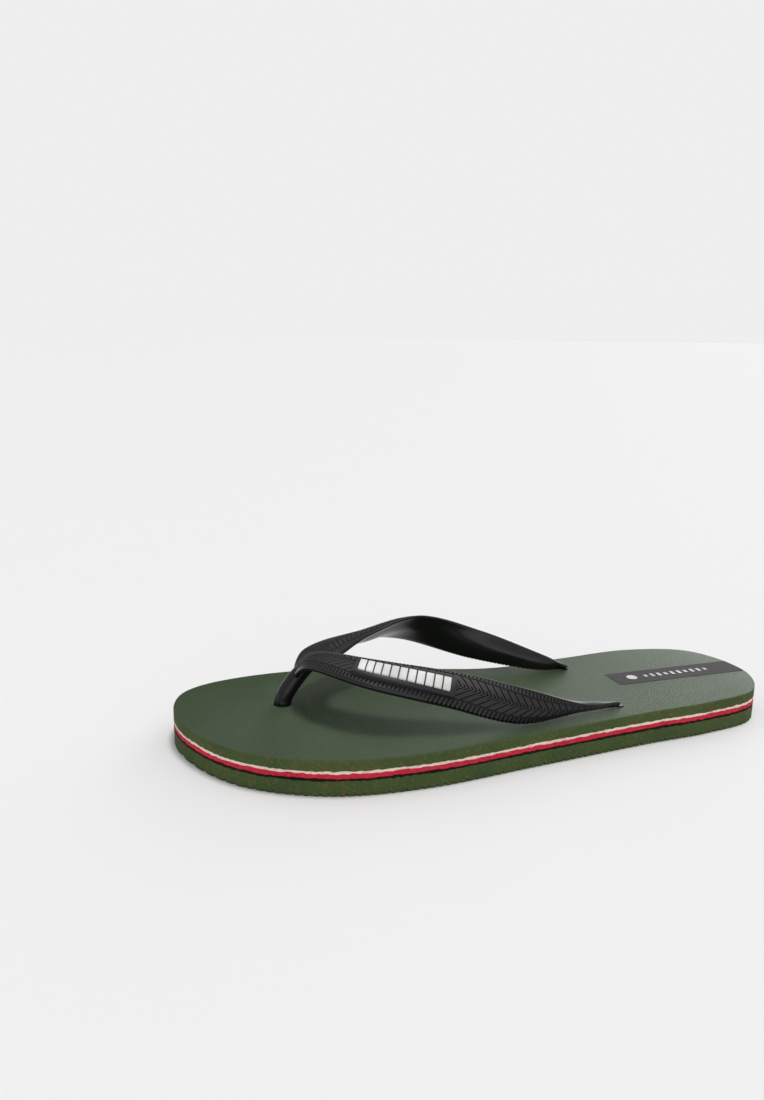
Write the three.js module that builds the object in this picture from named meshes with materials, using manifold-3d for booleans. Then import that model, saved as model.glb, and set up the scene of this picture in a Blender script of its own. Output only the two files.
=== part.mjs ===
// Flip flop for the left foot: a sole of five bonded foam sheets, held on by a moulded Y strap.
// Millimetres, +X towards the toes, +Y towards the outer side of the foot, +Z up.
// Points are worked out from the heel's rearmost line and the foot's long axis. The exported group
// then puts the middle of the sole's underside at the origin.
import * as THREE from "three";
import { mergeVertices } from "three/addons/utils/BufferGeometryUtils.js";
import Module from "manifold-3d";

// Sole.
const soleLength = 285;
const soleWidth = 108;
const outsoleThickness = 6.8;
const blackSheetThickness = 1.1;
const redSheetThickness = 2.0;
const whiteSheetThickness = 1.1;
const footbedThickness = 4.8;
const flexLineFromToe = 100; // where the sole bends, under the ball of the foot
const flexGap = 0.3; // saw cut that stands for the bend in each sheet

// Strap anchors. Each post runs down through the sole to a disc in a counterbore.
const toePostFromToe = 48.5;
const toePostSide = -13.5;
const rearAnchorFromHeel = 88.5;
const outerAnchorInset = 11; // in from the sole's outer edge
const innerAnchorInset = 15; // in from the sole's inner edge
const toePostDiameter = 8;
const rearPostDiameter = 6.6;
const toeDiscDiameter = 14;
const rearDiscDiameter = 16.6;
const discThickness = 3;
const discRecess = 0.4; // how far a disc lies above the sole's underside
const postClearance = 0.3;

// Strap.
const strapRise = 28; // height of the arms' rear edges over the footbed
const strapBow = 33; // how far an arm bows out of the straight line from toe post to anchor
const edgeThickness = 2.2;
const middleThickness = 4.2;
const toePostLean = 10.5; // how far the toe post's top lies behind its foot
const postStub = 1.2; // how far each post stands over the footbed before the band takes over

// Badge on the outer arm, and the heel label.
const badgeThickness = 1.6;
const barThickness = 0.8;
const barCount = 11;
const barGapShare = 0.3; // of the distance from one bar to the next
const seatGap = 0.3; // between a curved face and what lies on it
const labelLength = 72;
const labelWidth = 14.5;
const labelThickness = 0.3;
const labelFromHeel = 1.5;
const labelSide = 2.8;

// Fineness of the meshes.
const outlineSteps = 96;
const strapSteps = 72;
const roundSides = 32;
const sectionSteps = 8;
const postSteps = 24;
const beyond = 1; // how far a cutting solid reaches past what it cuts

const wasm = await Module();
wasm.setup();

const materials = {
  footbedGreen: new THREE.MeshStandardMaterial({ color: 0x5d7157, roughness: 0.85 }),
  soleGreen: new THREE.MeshStandardMaterial({ color: 0x44582f, roughness: 0.9 }),
  stripeWhite: new THREE.MeshStandardMaterial({ color: 0xe6dcd2, roughness: 0.8 }),
  stripeRed: new THREE.MeshStandardMaterial({ color: 0xb52a3c, roughness: 0.75 }),
  stripeBlack: new THREE.MeshStandardMaterial({ color: 0x17191a, roughness: 0.8 }),
  strapBlack: new THREE.MeshStandardMaterial({ color: 0x1a1a1c, roughness: 0.45 }),
  badgeWhite: new THREE.MeshStandardMaterial({ color: 0xf2f2f2, roughness: 0.5 }),
  labelGrey: new THREE.MeshStandardMaterial({ color: 0x4a464a, roughness: 0.7 }),
};

// Solids and meshes.
function solidFrom(geometry) {
  const bare = new THREE.BufferGeometry();
  bare.setAttribute("position", geometry.getAttribute("position"));
  bare.setIndex(geometry.index);
  const merged = mergeVertices(bare, 1e-4);
  return new wasm.Manifold(
    new wasm.Mesh({
      numProp: 3,
      vertProperties: merged.getAttribute("position").array,
      triVerts: new Uint32Array(merged.index.array),
    }),
  );
}

function meshFrom(solid, name, material) {
  const data = solid.getMesh();
  const geometry = new THREE.BufferGeometry();
  geometry.setAttribute("position", new THREE.BufferAttribute(data.vertProperties, 3));
  geometry.setIndex(new THREE.BufferAttribute(data.triVerts, 1));
  geometry.computeVertexNormals();
  const mesh = new THREE.Mesh(geometry, material);
  mesh.name = name;
  return mesh;
}

function disc(diameter, bottom, top, x, y) {
  const geometry = new THREE.CylinderGeometry(diameter / 2, diameter / 2, top - bottom, roundSides);
  geometry.rotateX(Math.PI / 2);
  geometry.translate(x, y, (bottom + top) / 2);
  return solidFrom(geometry);
}

function block(fromX, toX, fromY, toY, bottom, top) {
  const geometry = new THREE.BoxGeometry(toX - fromX, toY - fromY, top - bottom);
  geometry.translate((fromX + toX) / 2, (fromY + toY) / 2, (bottom + top) / 2);
  return solidFrom(geometry);
}

// A closed skin over a row of rings that all have the same number of points.
function skinOver(rings) {
  const count = rings[0].length;
  const positions = rings.flat().flatMap((point) => [point.x, point.y, point.z]);
  const faces = [];
  for (let ring = 0; ring + 1 < rings.length; ring += 1) {
    for (let i = 0; i < count; i += 1) {
      const here = ring * count + i;
      const next = ring * count + ((i + 1) % count);
      faces.push(here, next, here + count, next, next + count, here + count);
    }
  }
  const last = (rings.length - 1) * count;
  for (let i = 1; i + 1 < count; i += 1) {
    faces.push(0, i + 1, i, last, last + i, last + i + 1);
  }
  const geometry = new THREE.BufferGeometry();
  geometry.setAttribute("position", new THREE.Float32BufferAttribute(positions, 3));
  geometry.setIndex(faces);
  return solidFrom(geometry);
}

// Outline of the sole, seen from above: shares of the length from the heel, and of the width from
// the long axis. A smooth closed curve runs through them, then is fitted to the exact size.
const outlineShares = [
  [0.0, 0.065],
  [0.05, 0.305],
  [0.154, 0.375],
  [0.284, 0.398],
  [0.48, 0.449],
  [0.67, 0.495],
  [0.818, 0.445],
  [0.937, 0.246],
  [0.998, -0.097],
  [0.974, -0.384],
  [0.86, -0.495],
  [0.684, -0.468],
  [0.456, -0.287],
  [0.298, -0.306],
  [0.151, -0.329],
  [0.035, -0.227],
];
const rawOutline = new THREE.CatmullRomCurve3(
  outlineShares.map(([along, side]) => new THREE.Vector3(along * soleLength, side * soleWidth, 0)),
  true,
  "catmullrom",
).getPoints(outlineSteps);
rawOutline.pop();
const rawBox = new THREE.Box3().setFromPoints(rawOutline);
const rawSize = rawBox.getSize(new THREE.Vector3());
const outline = rawOutline.map(
  (point) =>
    new THREE.Vector2(
      ((point.x - rawBox.min.x) * soleLength) / rawSize.x,
      ((point.y - rawBox.min.y) * soleWidth) / rawSize.y - soleWidth / 2,
    ),
);

// Where the sole's edge lies at a distance from the heel: side 1 is the outer edge, -1 the inner.
function edgeAt(x, side) {
  let reach = 0;
  outline.forEach((point, i) => {
    const next = outline[(i + 1) % outline.length];
    const low = Math.min(point.x, next.x);
    const high = Math.max(point.x, next.x);
    if (x < low || x >= high) return;
    const y = point.y + ((next.y - point.y) * (x - point.x)) / (next.x - point.x);
    if (y * side > reach) reach = y * side;
  });
  return side * reach;
}

const flexLine = soleLength - flexLineFromToe;
const toePost = new THREE.Vector2(soleLength - toePostFromToe, toePostSide);
const outerAnchor = new THREE.Vector2(
  rearAnchorFromHeel,
  edgeAt(rearAnchorFromHeel, 1) - outerAnchorInset,
);
const innerAnchor = new THREE.Vector2(
  rearAnchorFromHeel,
  edgeAt(rearAnchorFromHeel, -1) + innerAnchorInset,
);
const anchors = [
  { at: toePost, post: toePostDiameter, disc: toeDiscDiameter },
  { at: outerAnchor, post: rearPostDiameter, disc: rearDiscDiameter },
  { at: innerAnchor, post: rearPostDiameter, disc: rearDiscDiameter },
];

// Sheets of the sole, from the ground up.
const sheets = [
  { name: "outsole", thickness: outsoleThickness, material: materials.soleGreen },
  { name: "black_stripe_sheet", thickness: blackSheetThickness, material: materials.stripeBlack },
  { name: "red_stripe_sheet", thickness: redSheetThickness, material: materials.stripeRed },
  { name: "white_stripe_sheet", thickness: whiteSheetThickness, material: materials.stripeWhite },
  { name: "footbed", thickness: footbedThickness, material: materials.footbedGreen },
];
const soleThickness = sheets.reduce((sum, sheet) => sum + sheet.thickness, 0);

function sheetSolid(bottom, thickness) {
  const geometry = new THREE.ExtrudeGeometry(new THREE.Shape(outline), {
    depth: thickness,
    bevelEnabled: false,
  });
  geometry.translate(0, 0, bottom);
  let solid = solidFrom(geometry);
  for (const anchor of anchors) {
    const { x, y } = anchor.at;
    solid = solid.subtract(disc(anchor.post + 2 * postClearance, -beyond, soleThickness + beyond, x, y));
    const counterboreTop = discRecess + discThickness + postClearance;
    solid = solid.subtract(disc(anchor.disc + 2 * postClearance, -beyond, counterboreTop, x, y));
  }
  return solid;
}

// Everything of the sole between two distances from the heel.
function lengthwiseHalf(fromX, toX) {
  return block(fromX, toX, -soleWidth, soleWidth, -beyond, soleThickness + beyond);
}

function sheetMeshes() {
  const meshes = [];
  let bottom = 0;
  for (const { name, thickness, material } of sheets) {
    const whole = sheetSolid(bottom, thickness);
    const rear = lengthwiseHalf(-beyond, flexLine - flexGap / 2);
    const front = lengthwiseHalf(flexLine + flexGap / 2, soleLength + beyond);
    meshes.push(meshFrom(whole.intersect(rear), `${name}_rear`, material));
    meshes.push(meshFrom(whole.intersect(front), `${name}_front`, material));
    bottom += thickness;
  }
  return meshes;
}

// Strap. Its band is one horseshoe: it starts at the outer anchor, runs forward along the outer
// arm, turns round over the toe post, which is the yoke, and runs back along the inner arm. Each
// station gives a point on the band's front edge and one on its rear edge, each as [along, out,
// rise]: the share of the way from the toe post to the arm's anchor, the share of the bow and the
// share of the strap's rise. "crown" is how far the outer face bulges over the straight line
// between the two edges.
const outerArm = [
  { front: [0.085, 0.48, 0.84], rear: [0.179, 0.12, 0.89], crown: 3.7 },
  { front: [0.253, 1.0, 0.78], rear: [0.328, 0.42, 0.9], crown: 3.5 },
  { front: [0.46, 1.02, 0.49], rear: [0.526, 0.54, 0.78], crown: 3.3 },
  { front: [0.675, 0.77, 0.06], rear: [0.71, 0.61, 0.56], crown: 2.7 },
  { front: [0.877, 0.3, 0.05], rear: [0.884, 0.34, 0.19], crown: 1.5 },
  { front: [0.988, 0.08, 0.02], rear: [0.997, -0.01, 0.04], crown: 1.2 },
];
const innerArm = [
  { front: [0.095, 0.47, 0.7], rear: [0.189, 0.06, 0.75], crown: 2.1 },
  { front: [0.274, 0.96, 0.68], rear: [0.319, 0.42, 0.89], crown: 1.3 },
  { front: [0.471, 1.06, 0.52], rear: [0.516, 0.63, 1.03], crown: 3.4 },
  { front: [0.679, 0.56, 0.2], rear: [0.728, 0.45, 0.7], crown: 2.9 },
  { front: [0.879, 0.11, 0.02], rear: [0.91, 0.12, 0.31], crown: 1.5 },
  { front: [0.982, 0.03, 0.02], rear: [0.995, -0.04, 0.04], crown: 0.8 },
];
const toePostTop = [0.075, 0, 0.52]; // inside the yoke's wall
const yoke = { front: [0.034, 0, 0.48], rear: [0.156, 0, 0.78], crown: 5.9 };

function strapPoint([along, out, rise], anchor, side) {
  const reach = anchor.clone().sub(toePost);
  const outwards = new THREE.Vector2(reach.y, -reach.x).normalize();
  if (outwards.y < 0) outwards.negate();
  outwards.multiplyScalar(side * out * strapBow);
  const flat = toePost.clone().addScaledVector(reach, along).add(outwards);
  return new THREE.Vector3(flat.x, flat.y, soleThickness + rise * strapRise);
}

const rearMiddle = outerAnchor.clone().add(innerAnchor).multiplyScalar(0.5);
function stationOf(row, anchor, side) {
  return {
    front: strapPoint(row.front, anchor, side),
    rear: strapPoint(row.rear, anchor, side),
    crown: row.crown,
  };
}
const stations = [
  ...outerArm.toReversed().map((row) => stationOf(row, outerAnchor, 1)),
  stationOf(yoke, rearMiddle, 1),
  ...innerArm.map((row) => stationOf(row, innerAnchor, -1)),
];
const frontEdge = new THREE.CatmullRomCurve3(stations.map((station) => station.front));
const rearEdge = new THREE.CatmullRomCurve3(stations.map((station) => station.rear));
const crownCurve = new THREE.CatmullRomCurve3(
  stations.map((station, i) => new THREE.Vector3(i, station.crown, 0)),
);
for (const curve of [frontEdge, rearEdge, crownCurve]) curve.curveType = "catmullrom";

// A point of the strap: s from 0 to 1 along the band, t from 0 to 1 across it from the front edge
// to the rear edge, and lift above its outer face.
function bandPoint(s, t, lift) {
  const front = frontEdge.getPoint(s);
  const rear = rearEdge.getPoint(s);
  const chord = rear.clone().sub(front);
  const run = frontEdge.getTangent(s).add(rearEdge.getTangent(s)).normalize();
  const outward = chord.clone().cross(run).normalize();
  const arch = 1 - (2 * t - 1) ** 2;
  return front
    .addScaledVector(chord, t)
    .addScaledVector(outward, crownCurve.getPoint(s).y * arch + lift);
}

// The wall is thinner at the band's edges than in its middle.
function bandThickness(t) {
  return edgeThickness + (middleThickness - edgeThickness) * (1 - (2 * t - 1) ** 2);
}

// A patch of the band between four corners, each given as [s, t], from one lift to another.
// u runs from the heel end to the toe end, v from the low edge to the high edge.
function bandPatch(corners, u0, u1, underLift, overLift, steps) {
  const rings = [];
  for (let i = 0; i <= steps; i += 1) {
    const u = u0 + ((u1 - u0) * i) / steps;
    const over = [];
    const under = [];
    for (let j = 0; j <= sectionSteps; j += 1) {
      const v = j / sectionSteps;
      const [s, t] = [0, 1].map((k) => {
        const low = corners.heelLow[k] * (1 - u) + corners.toeLow[k] * u;
        const high = corners.heelHigh[k] * (1 - u) + corners.toeHigh[k] * u;
        return low * (1 - v) + high * v;
      });
      over.push(bandPoint(s, t, overLift(t)));
      under.push(bandPoint(s, t, underLift(t)));
    }
    rings.push([...over, ...under.reverse()]);
  }
  return skinOver(rings);
}

const wholeBand = { heelLow: [0, 0], heelHigh: [0, 1], toeLow: [1, 0], toeHigh: [1, 1] };

function strapSolid() {
  const top = soleThickness;
  const band = bandPatch(wholeBand, 0, 1, (t) => -bandThickness(t), () => 0, strapSteps);
  const aboveFootbed = block(
    -beyond,
    soleLength + beyond,
    -soleWidth,
    soleWidth,
    top + postClearance,
    top + 2 * strapRise,
  );
  let solid = band.intersect(aboveFootbed);
  const discTop = discRecess + discThickness;
  for (const anchor of anchors) {
    solid = solid.add(disc(anchor.disc, discRecess, discTop, anchor.at.x, anchor.at.y));
  }
  for (const anchor of anchors) {
    solid = solid.add(disc(anchor.post, discTop - beyond, top + postStub, anchor.at.x, anchor.at.y));
  }
  // The toe post rises straight out of the sole, then curves back into the yoke.
  const yokeUnderside = strapPoint(toePostTop, rearMiddle, 1);
  const path = new THREE.CatmullRomCurve3([
    new THREE.Vector3(toePost.x, toePost.y, top + postStub / 2),
    new THREE.Vector3(toePost.x - toePostLean * 0.15, toePost.y, top + strapRise * 0.18),
    new THREE.Vector3(toePost.x - toePostLean * 0.6, toePost.y, top + strapRise * 0.42),
    new THREE.Vector3(yokeUnderside.x, yokeUnderside.y, yokeUnderside.z),
  ]);
  const circle = new THREE.Shape();
  circle.absarc(0, 0, toePostDiameter / 2, 0, 2 * Math.PI);
  const post = new THREE.ExtrudeGeometry(circle, { steps: postSteps, curveSegments: 12, extrudePath: path });
  return solid.add(solidFrom(post));
}

// Badge: a plate moulded on the outer arm, and the row of plain bars on it.
const badge = {
  heelLow: [0.245, 0.146],
  heelHigh: [0.256, 0.697],
  toeLow: [0.36, 0.106],
  toeHigh: [0.365, 0.473],
};
const barRow = {
  heelLow: [0.2527, 0.225],
  heelHigh: [0.2593, 0.549],
  toeLow: [0.3541, 0.175],
  toeHigh: [0.359, 0.43],
};
const badgeSteps = 16;
const barSteps = 2;
function badgeMeshes() {
  const plate = bandPatch(badge, 0, 1, () => seatGap, () => seatGap + badgeThickness, badgeSteps);
  const meshes = [meshFrom(plate, "badge_plate", materials.strapBlack)];
  const pitch = 1 / barCount;
  const under = 2 * seatGap + badgeThickness;
  for (let i = 0; i < barCount; i += 1) {
    const u0 = pitch * (i + barGapShare / 2);
    const u1 = pitch * (i + 1 - barGapShare / 2);
    const bar = bandPatch(barRow, u0, u1, () => under, () => under + barThickness, barSteps);
    meshes.push(meshFrom(bar, `badge_bar_${i + 1}`, materials.badgeWhite));
  }
  return meshes;
}

function labelMesh() {
  const label = block(
    labelFromHeel,
    labelFromHeel + labelLength,
    labelSide - labelWidth / 2,
    labelSide + labelWidth / 2,
    soleThickness,
    soleThickness + labelThickness,
  );
  return meshFrom(label, "heel_label", materials.labelGrey);
}

const flipFlop = new THREE.Group();
flipFlop.name = "flip_flop";
flipFlop.add(...sheetMeshes());
flipFlop.add(meshFrom(strapSolid(), "strap", materials.strapBlack));
flipFlop.add(...badgeMeshes());
flipFlop.add(labelMesh());
flipFlop.position.set(-soleLength / 2, 0, 0);

export default flipFlop;
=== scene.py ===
# Flip flop for the left foot: five bonded foam sheets and a moulded strap, in metres.
# +X points to the toes, +Y to the outer side of the foot, +Z up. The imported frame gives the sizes.
import math

import bpy
import numpy as np
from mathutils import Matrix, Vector, kdtree, noise


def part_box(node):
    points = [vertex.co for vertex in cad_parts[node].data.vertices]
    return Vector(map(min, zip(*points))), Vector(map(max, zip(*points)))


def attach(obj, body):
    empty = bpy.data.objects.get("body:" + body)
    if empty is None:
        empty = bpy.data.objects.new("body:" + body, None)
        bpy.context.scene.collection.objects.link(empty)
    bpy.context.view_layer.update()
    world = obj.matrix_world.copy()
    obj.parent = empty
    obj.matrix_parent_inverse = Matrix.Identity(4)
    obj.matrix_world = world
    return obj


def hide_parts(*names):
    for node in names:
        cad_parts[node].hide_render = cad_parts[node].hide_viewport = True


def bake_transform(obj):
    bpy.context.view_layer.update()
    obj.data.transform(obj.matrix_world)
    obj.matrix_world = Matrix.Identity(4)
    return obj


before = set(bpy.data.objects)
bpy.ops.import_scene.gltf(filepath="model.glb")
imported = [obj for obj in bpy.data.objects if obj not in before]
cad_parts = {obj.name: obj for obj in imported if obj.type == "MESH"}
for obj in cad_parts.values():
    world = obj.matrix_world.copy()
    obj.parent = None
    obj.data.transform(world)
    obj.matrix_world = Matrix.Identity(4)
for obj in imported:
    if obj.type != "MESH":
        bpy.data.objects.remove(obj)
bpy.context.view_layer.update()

MM = 0.001

# ---------------------------------------------------------------- sizes taken from the frame
HEEL_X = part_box("outsole_rear")[0].x
TOE_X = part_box("outsole_front")[1].x
INNER_Y = min(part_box("outsole_front")[0].y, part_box("outsole_rear")[0].y)
OUTER_Y = max(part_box("outsole_front")[1].y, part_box("outsole_rear")[1].y)
SHEETS = ["outsole", "black_stripe_sheet", "red_stripe_sheet", "white_stripe_sheet", "footbed"]
SEAMS = [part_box(sheet + "_rear")[0].z for sheet in SHEETS] + [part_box("footbed_rear")[1].z]
TOP = SEAMS[-1]
LABEL_LOW, LABEL_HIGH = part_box("heel_label")

# ---------------------------------------------------------------- small modelling helpers


def take(name):
    """The object just added, renamed."""
    obj = bpy.context.object
    obj.name = name
    obj.data.name = name
    return obj


def only(*objects):
    """Selects just these objects and makes the first one active."""
    bpy.ops.object.select_all(action="DESELECT")
    for obj in objects:
        obj.select_set(True)
    bpy.context.view_layer.objects.active = objects[0]


def edit(obj):
    """Opens an object in edit mode with all of it selected."""
    only(obj)
    bpy.ops.object.mode_set(mode="EDIT")
    bpy.ops.mesh.select_all(action="SELECT")


def leave():
    """Back to object mode."""
    bpy.ops.object.mode_set(mode="OBJECT")


def edit_end(obj, direction):
    """Opens an upright piece in edit mode with only its top (1) or its bottom (-1) selected."""
    edit(obj)
    bpy.ops.mesh.select_all(action="DESELECT")
    leave()
    for face in obj.data.polygons:
        face.select = face.normal.z * direction > 0.9
    only(obj)
    bpy.ops.object.mode_set(mode="EDIT")
    bpy.ops.mesh.select_mode(type="FACE")


def points_of(obj):
    """An object's vertices, one row each."""
    flat = np.zeros(len(obj.data.vertices) * 3)
    obj.data.vertices.foreach_get("co", flat)
    return flat.reshape(-1, 3)


def set_points(obj, points):
    obj.data.vertices.foreach_set("co", np.asarray(points, float).ravel())
    obj.data.update()


def face_out(obj, merge=1e-7):
    """Merges doubled vertices and turns every face outwards."""
    edit(obj)
    bpy.ops.mesh.remove_doubles(threshold=merge)
    bpy.ops.mesh.select_all(action="SELECT")
    bpy.ops.mesh.normals_make_consistent(inside=False)
    leave()


def smooth(obj, degrees):
    """Shades a piece smooth, except over edges sharper than this."""
    only(obj)
    bpy.ops.object.shade_smooth_by_angle(angle=math.radians(degrees))


def apply(obj, modifier):
    only(obj)
    bpy.ops.object.modifier_apply(modifier=modifier.name)


def cut(obj, cutters, operation="DIFFERENCE"):
    """Cuts, joins or trims a piece by others, which are used up."""
    for cutter in cutters:
        modifier = obj.modifiers.new(operation.lower(), "BOOLEAN")
        modifier.operation = operation
        modifier.solver = "EXACT"
        modifier.object = cutter
        apply(obj, modifier)
        bpy.data.objects.remove(cutter)


def bevel(obj, width, segments=2, degrees=30):
    modifier = obj.modifiers.new("bevel", "BEVEL")
    modifier.width = width
    modifier.segments = segments
    modifier.limit_method = "ANGLE"
    modifier.angle_limit = math.radians(degrees)
    apply(obj, modifier)


def join(name, objects):
    only(*objects)
    bpy.ops.object.join()
    return take(name)


def drop_place(obj):
    """Moves an object's place, turn and size into its mesh."""
    only(obj)
    bpy.ops.object.transform_apply(location=True, rotation=True, scale=True)


def rod(radius, low, high, x, y, sides=64):
    """An upright cylinder between two heights."""
    bpy.ops.mesh.primitive_cylinder_add(
        vertices=sides, radius=radius, depth=high - low, location=(x, y, (low + high) / 2)
    )
    obj = take("rod")
    drop_place(obj)
    return obj


def smoothstep(value, start, end):
    """0 up to start, 1 from end on, and a smooth rise between them."""
    share = np.clip((value - start) / (end - start), 0, 1)
    return share * share * (3 - 2 * share)


def waves(points, size, seed):
    """Smooth irregular values from -1 to 1 at some points, with bumps about this size."""
    shift = Vector((seed * 7.31, seed * 3.17, seed * 5.71))
    return np.array([noise.noise(Vector(point) / size + shift) for point in points])


# ---------------------------------------------------------------- outline of the sole

# Shares of the length from the heel and of the width from the long axis.
OUTLINE_SHARES = [
    (0.0, 0.065),
    (0.05, 0.305),
    (0.154, 0.375),
    (0.284, 0.398),
    (0.48, 0.449),
    (0.67, 0.495),
    (0.818, 0.445),
    (0.937, 0.246),
    (0.998, -0.097),
    (0.974, -0.384),
    (0.86, -0.495),
    (0.684, -0.468),
    (0.456, -0.287),
    (0.298, -0.306),
    (0.151, -0.329),
    (0.035, -0.227),
]
OUTLINE_STEPS = 720


def catmull_rom(knots, places):
    """Points of a Catmull-Rom curve. places count knots from the second one on."""
    first = np.minimum(places.astype(int), len(knots) - 4)
    share = (places - first)[:, None]
    before, here, after, beyond = (knots[first + i] for i in range(4))
    leaving = (after - before) / 2
    arriving = (beyond - here) / 2
    cubic = 2 * here - 2 * after + leaving + arriving
    square = -3 * here + 3 * after - 2 * leaving - arriving
    return ((cubic * share + square) * share + leaving) * share + here


def with_ends(knots):
    """The knots with one more at each end, in line, so that a curve runs through them all."""
    return np.vstack([2 * knots[:1] - knots[1:2], knots, 2 * knots[-1:] - knots[-2:-1]])


def sole_outline(steps):
    """A smooth closed curve through the shares, fitted to the frame's sole and run anticlockwise."""
    shares = np.array(OUTLINE_SHARES[::-1])
    knots = np.vstack([shares[-1:], shares, shares[:2]])
    raw = catmull_rom(knots, np.arange(steps) * len(shares) / steps)
    low, high = raw.min(0), raw.max(0)
    size = np.array([TOE_X - HEEL_X, OUTER_Y - INNER_Y])
    return (raw - low) / (high - low) * size + np.array([HEEL_X, INNER_Y])


OUTLINE = sole_outline(OUTLINE_STEPS)
FINE_OUTLINE = sole_outline(8 * OUTLINE_STEPS)
FINE_TANGENT = np.roll(FINE_OUTLINE, -1, 0) - np.roll(FINE_OUTLINE, 1, 0)
FINE_INWARD = np.stack([-FINE_TANGENT[:, 1], FINE_TANGENT[:, 0]], 1)
FINE_INWARD /= np.linalg.norm(FINE_INWARD, axis=1)[:, None]
NEAREST = kdtree.KDTree(len(FINE_OUTLINE))
for number, (x, y) in enumerate(FINE_OUTLINE):
    NEAREST.insert((x, y, 0), number)
NEAREST.balance()


def inward_at(flat):
    """Unit vectors that point from the sole's edge to its inside."""
    return FINE_INWARD[[NEAREST.find((x, y, 0))[1] for x, y in flat]]


# ---------------------------------------------------------------- strap anchors, from the frame
DISC_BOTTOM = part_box("strap")[0].z
DISC_THICKNESS = 3 * MM
HOLE_CLEARANCE = 0.3 * MM
DISC_TOP = DISC_BOTTOM + DISC_THICKNESS
COUNTERBORE_TOP = DISC_TOP + HOLE_CLEARANCE


def anchor(toe, outer):
    """Middle and radius of one of the strap's discs."""
    low = [v.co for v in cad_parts["strap"].data.vertices if v.co.z < DISC_TOP - MM]
    mine = np.array([p for p in low if (p.x > 0) == toe and (toe or (p.y > 0) == outer)])
    middle = (mine.max(0) + mine.min(0)) / 2
    return Vector(middle[:2]), (mine[:, 0].max() - mine[:, 0].min()) / 2


TOE_POST, TOE_DISC = anchor(True, False)
OUTER_ANCHOR, _ = anchor(False, True)
INNER_ANCHOR, REAR_DISC = anchor(False, False)
TOE_POST_RADIUS = 4 * MM
REAR_POST_RADIUS = 3.3 * MM
NECK_RADIUS = 1.3 * MM  # of a rear post where it passes the footbed
POST_SINK = 0.5 * MM  # of every post in its disc
POSTS = [
    (TOE_POST, TOE_POST_RADIUS, TOE_DISC),
    (OUTER_ANCHOR, REAR_POST_RADIUS, REAR_DISC),
    (INNER_ANCHOR, REAR_POST_RADIUS, REAR_DISC),
]

# ---------------------------------------------------------------- sole sheets

RIB_PITCH = 3.45 * MM
RIB_DEPTH = 1.2 * MM
RIDGE_SHARE = 0.6
RIDGE_CROWN = 0.12 * MM
RIB_PHASES = [0.0, 0.2, 0.4, 0.6, 0.655, 0.73, 0.8, 0.87, 0.945]
SHEET_STRIP = 2.5 * MM
SEAM_WAVE = 0.2 * MM
SEAM_WAVE_SIZE = 9 * MM
SEAM_RAG = 0.42 * MM
SEAM_RAG_SIZE = 1.9 * MM
EDGE_WAVE = 0.1 * MM
EDGE_WAVE_SIZE = 6 * MM
END_MARGIN = 0.01 * MM  # at the heel and the toe, where no sheet is divided


def rib_height(x):
    """Height of the ribbed underside over the ground: rounded ridges and half-round grooves."""
    phase = (x / RIB_PITCH) % 1
    ridge = RIDGE_CROWN * (2 * phase / RIDGE_SHARE - 1) ** 2
    depth = np.sin(np.pi * np.clip((phase - RIDGE_SHARE) / (1 - RIDGE_SHARE), 0, 1)) ** 0.75
    return np.where(phase < RIDGE_SHARE, ridge, RIDGE_CROWN + (RIB_DEPTH - RIDGE_CROWN) * depth)


def seam_height(number, flat):
    """Height of the seam under sheet number, which wavers a little along the sole's edge."""
    level = np.full(len(flat), SEAMS[number])
    if number in (0, len(SEAMS) - 1):
        return level
    spots = [(x, y, 0) for x, y in flat]
    slow = SEAM_WAVE * waves(spots, SEAM_WAVE_SIZE, number)
    return level + slow + SEAM_RAG * waves(spots, SEAM_RAG_SIZE, 9 + number)


def strips(pitch, phases):
    """Places along the sole where its sheets are divided, so that they can bend."""
    first = math.floor(HEEL_X / pitch)
    last = math.ceil(TOE_X / pitch)
    places = [(i + phase) * pitch for i in range(first, last + 1) for phase in phases]
    return [x for x in places if HEEL_X + END_MARGIN < x < TOE_X - END_MARGIN]


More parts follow.
